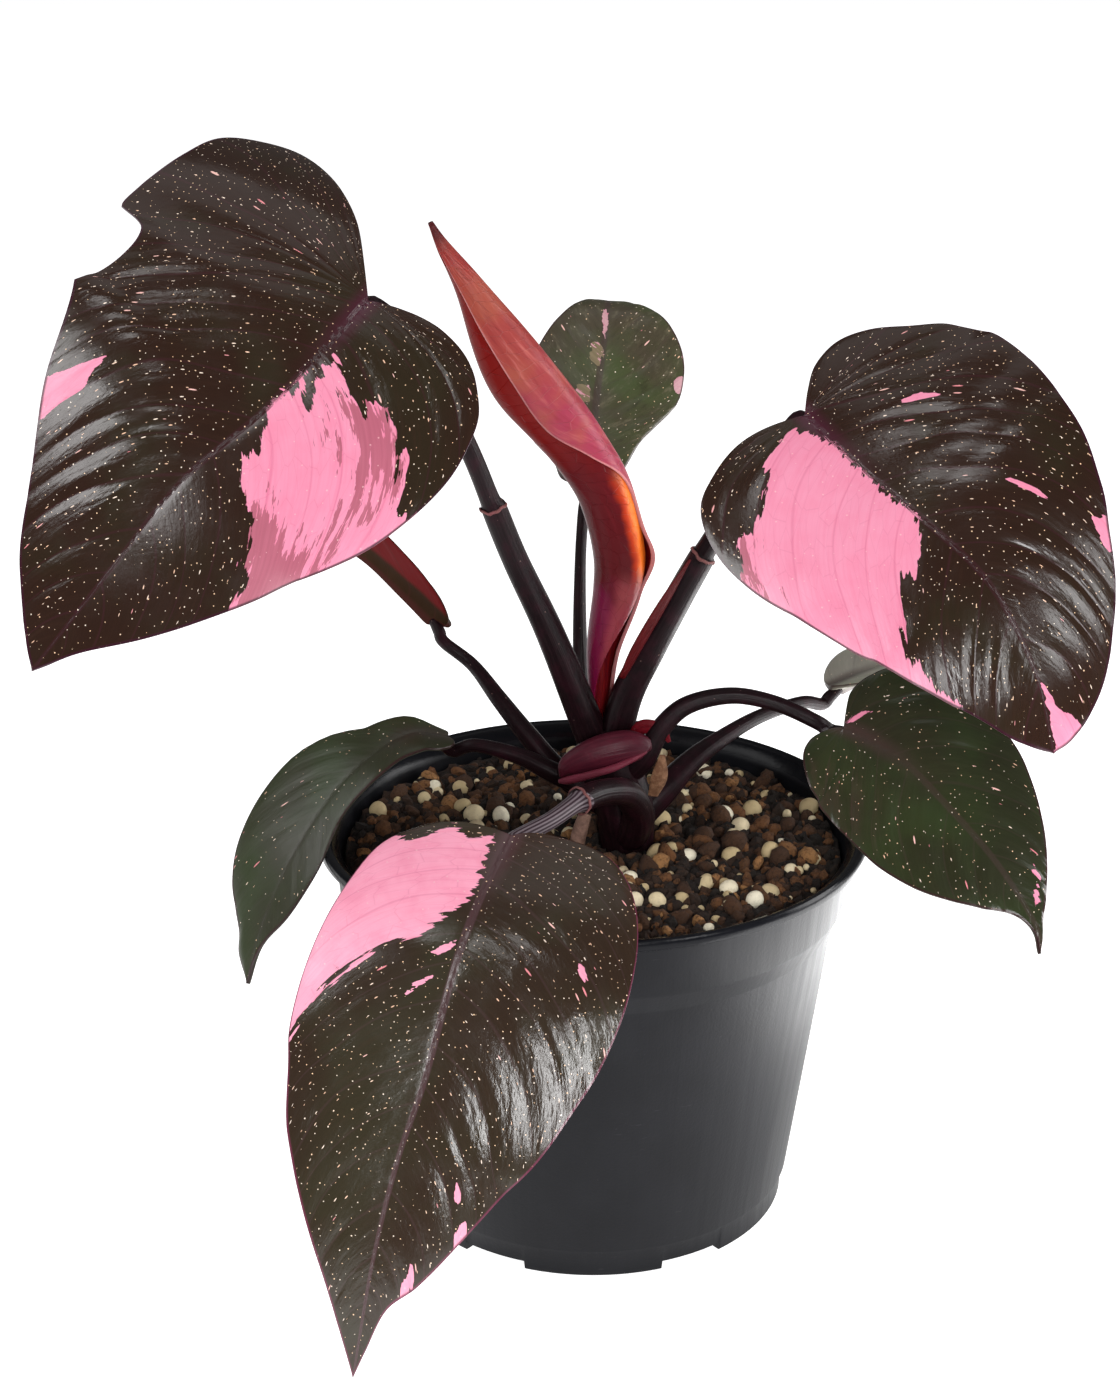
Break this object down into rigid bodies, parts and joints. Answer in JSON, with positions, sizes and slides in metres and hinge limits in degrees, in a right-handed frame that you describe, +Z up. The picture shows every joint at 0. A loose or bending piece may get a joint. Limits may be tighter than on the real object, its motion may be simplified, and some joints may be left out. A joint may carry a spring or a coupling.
{
  "type": "potted houseplant",
  "caption": "Pink princess philodendron: heart-shaped dark leaves with pink sectors on long petioles, a rolled new leaf and a round black nursery pot with soil.",
  "frame": {"origin": "middle of the pot's underside, where it stands", "axes": "+Z up the pot's axis, -Y towards the front, where the lowest leaf hangs over the rim"},
  "size_m": [0.1966, 0.1808, 0.2212],
  "materials": {
    "pot": "satin black, lightly scuffed",
    "soil": "crumbly dark peat with pale perlite and orange-brown bark",
    "petiole": "satin brown-purple",
    "leaf_dark": "glossy brown-green with pink and cream sectors and flecks",
    "leaf_green": "glossy green with cream flecks",
    "leaf_brown": "satin maroon underside",
    "new_leaf": "satin salmon to magenta",
    "red_sheath": "satin dark red",
    "bract": "satin magenta",
    "dry_sheath": "dry rust brown",
    "root": "matt tan-pink"
  },
  "bodies": {
    "root": {"pot": "pot", "soil": "soil", "crown_and_petioles": "petiole", "leaf_upper_left": "leaf_dark", "leaf_upper_right": "leaf_dark", "leaf_front": "leaf_dark", "leaf_right": "leaf_green", "leaf_left": "leaf_green", "leaf_back": "leaf_green", "leaf_back_right": "leaf_green", "leaf_back_left": "leaf_brown", "new_leaf": "new_leaf", "petiole_sheath": "red_sheath", "crown_bract": "bract", "dry_sheath": "dry_sheath", "aerial_root": "root"}
  },
  "joints": []
}
